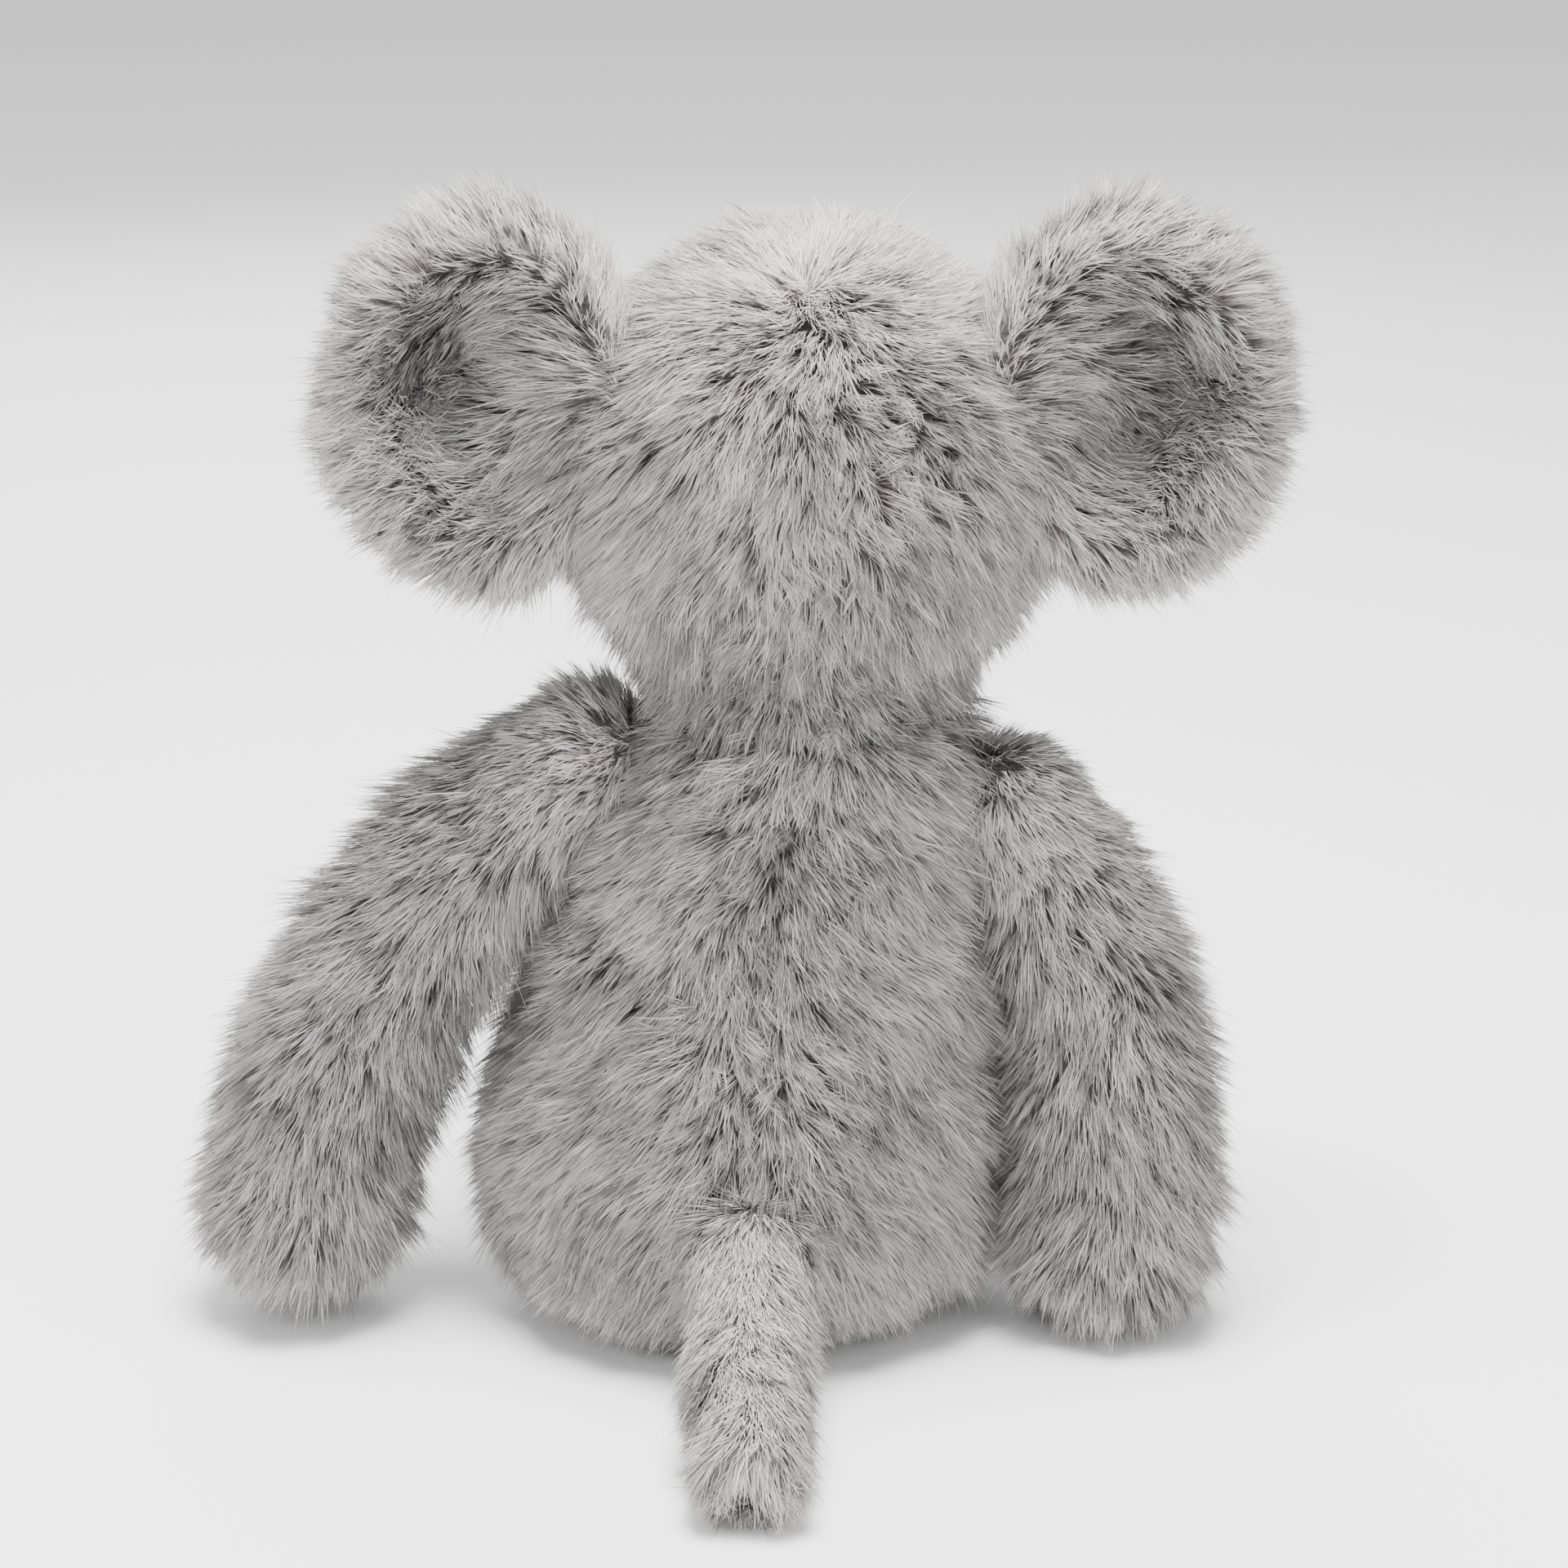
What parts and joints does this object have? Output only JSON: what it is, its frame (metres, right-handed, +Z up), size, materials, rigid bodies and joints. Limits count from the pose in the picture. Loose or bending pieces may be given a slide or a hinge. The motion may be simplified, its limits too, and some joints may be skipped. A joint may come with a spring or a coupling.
{
  "type": "stuffed elephant",
  "caption": "Sitting stuffed elephant in long grey plush, with turning head, swinging trunk, arms, legs and tail, and flapping ears.",
  "frame": {"origin": "centre of the flat seat, on the surface that the toy sits on", "axes": "+Z up, -Y is the way the toy faces, +X is the toy's own left"},
  "size_m": [0.2647, 0.2705, 0.2848],
  "materials": {
    "long_pile_plush": "matt, long soft pile",
    "pale_long_pile_plush": "matt, long soft pile",
    "short_napped_plush": "matt, short nap",
    "polyester_fibre": "matt, loose fibre",
    "pouch_cloth": "matt, plain weave",
    "eye_plastic": "polished",
    "washer_plastic": "as moulded"
  },
  "bodies": {
    "torso": {"back_panel_left": "long_pile_plush", "back_panel_right": "long_pile_plush", "belly_panel": "long_pile_plush", "seat_panel": "short_napped_plush", "torso_stuffing": "polyester_fibre", "pellet_pouch": "pouch_cloth"},
    "neck": {"neck_stuffing": "polyester_fibre"},
    "head": {"head_side_left": "long_pile_plush", "head_side_right": "long_pile_plush", "head_gusset": "long_pile_plush", "head_stuffing": "polyester_fibre", "eye_left": "eye_plastic", "eye_right": "eye_plastic", "eye_washer_left": "washer_plastic", "eye_washer_right": "washer_plastic"},
    "trunk": {"trunk_skin": "long_pile_plush", "trunk_stuffing": "polyester_fibre"},
    "tail": {"tail_skin": "pale_long_pile_plush", "tail_stuffing": "polyester_fibre"},
    "ear_left": {"ear_back_left": "pale_long_pile_plush", "ear_wadding_left": "polyester_fibre", "ear_front_left": "long_pile_plush"},
    "arm_left": {"arm_left_skin": "long_pile_plush", "arm_left_stuffing": "polyester_fibre"},
    "leg_left": {"leg_skin_left": "long_pile_plush", "leg_stuffing_left": "polyester_fibre", "foot_sole_left": "short_napped_plush"},
    "ear_right": {"ear_back_right": "pale_long_pile_plush", "ear_wadding_right": "polyester_fibre", "ear_front_right": "long_pile_plush"},
    "arm_right": {"arm_right_skin": "long_pile_plush", "arm_right_stuffing": "polyester_fibre"},
    "leg_right": {"leg_skin_right": "long_pile_plush", "leg_stuffing_right": "polyester_fibre", "foot_sole_right": "short_napped_plush"}
  },
  "joints": [
    {"name": "neck_turn", "type": "hinge", "parent": "torso", "child": "neck", "pos_m": [-0.017, 0, 0.163], "axis": [0, 0, 1], "range_deg": [-30, 30], "stiffness_Nm_per_rad": 0.8},
    {"name": "head_nod", "type": "hinge", "parent": "neck", "child": "head", "pos_m": [-0.017, 0, 0.163], "axis": [1, 0, 0], "range_deg": [-15, 20], "stiffness_Nm_per_rad": 1},
    {"name": "trunk_swing", "type": "hinge", "parent": "head", "child": "trunk", "pos_m": [-0.017, -0.07255, 0.2075], "axis": [-1, 0, 0], "range_deg": [-12, 40], "stiffness_Nm_per_rad": 0.05},
    {"name": "ear_flap_left", "type": "hinge", "parent": "head", "child": "ear_left", "pos_m": [0.0455, -0.004, 0.2415], "axis": [0, 0, -1], "range_deg": [-11, 22], "stiffness_Nm_per_rad": 0.05},
    {"name": "ear_flap_right", "type": "hinge", "parent": "head", "child": "ear_right", "pos_m": [-0.0795, -0.004, 0.2415], "axis": [0, 0, 1], "range_deg": [-11, 22], "stiffness_Nm_per_rad": 0.05},
    {"name": "arm_swing_left", "type": "hinge", "parent": "torso", "child": "arm_left", "pos_m": [0.0384, 0.004, 0.147], "axis": [-1, 0, 0], "range_deg": [-25, 60], "stiffness_Nm_per_rad": 0.12},
    {"name": "arm_swing_right", "type": "hinge", "parent": "torso", "child": "arm_right", "pos_m": [-0.06891, 0.004, 0.134], "axis": [-1, 0, 0], "range_deg": [-25, 60], "stiffness_Nm_per_rad": 0.12},
    {"name": "leg_raise_left", "type": "hinge", "parent": "torso", "child": "leg_left", "pos_m": [0.025, -0.05411, 0.0208], "axis": [-1, 0, 0], "range_deg": [-8, 26], "stiffness_Nm_per_rad": 0.12},
    {"name": "leg_raise_right", "type": "hinge", "parent": "torso", "child": "leg_right", "pos_m": [-0.025, -0.05411, 0.0208], "axis": [-1, 0, 0], "range_deg": [-8, 26], "stiffness_Nm_per_rad": 0.12},
    {"name": "tail_lift", "type": "hinge", "parent": "torso", "child": "tail", "pos_m": [-0.003, 0.06016, 0.027], "axis": [1, 0, 0], "range_deg": [-5, 40], "stiffness_Nm_per_rad": 0.08}
  ]
}
